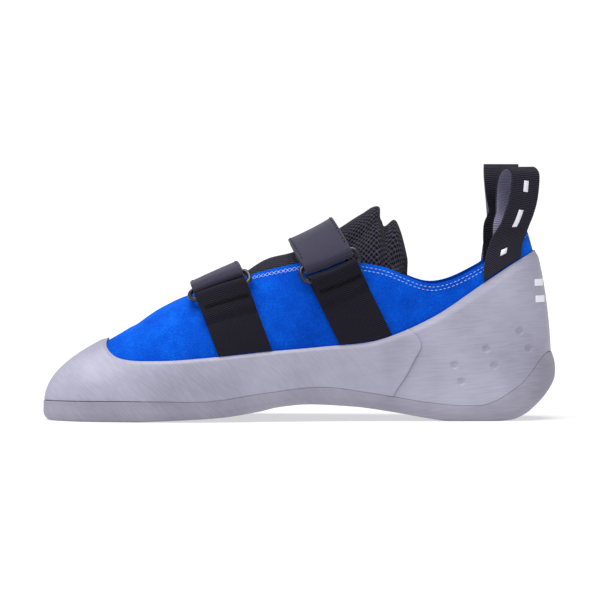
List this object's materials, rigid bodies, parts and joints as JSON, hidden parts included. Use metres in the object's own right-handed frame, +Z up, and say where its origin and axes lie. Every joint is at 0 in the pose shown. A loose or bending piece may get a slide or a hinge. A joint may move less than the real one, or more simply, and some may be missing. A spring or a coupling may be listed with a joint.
{
  "type": "climbing shoe",
  "caption": "Right climbing shoe with a suede upper, a rubber rand and cupped sole, two hook-and-loop straps through rings, and two heel pull loops.",
  "frame": {"origin": "the flat spot under the heel, on the floor", "axes": "+X from heel to toe, +Y to the medial side (a right shoe's left), +Z up"},
  "size_m": [0.2703, 0.0981, 0.1347],
  "materials": {
    "rubber": "matte moulded",
    "suede": "napped blue suede",
    "mesh": "padded spacer mesh",
    "webbing": "ribbed black webbing",
    "elastic": "twill elastic",
    "strap": "brushed loop face",
    "ring": "moulded black",
    "board": "fibre board"
  },
  "bodies": {
    "root": {"outsole": "rubber", "insole": "board", "upper": "suede", "rand_front": "rubber", "rand_heel": "rubber", "tongue": "mesh", "gore_front": "elastic", "ring_front": "ring", "strap_front": "strap", "gore_rear": "elastic", "ring_rear": "ring", "strap_rear": "strap", "pull_loop_medial": "webbing", "pull_loop_lateral": "webbing"}
  },
  "joints": []
}
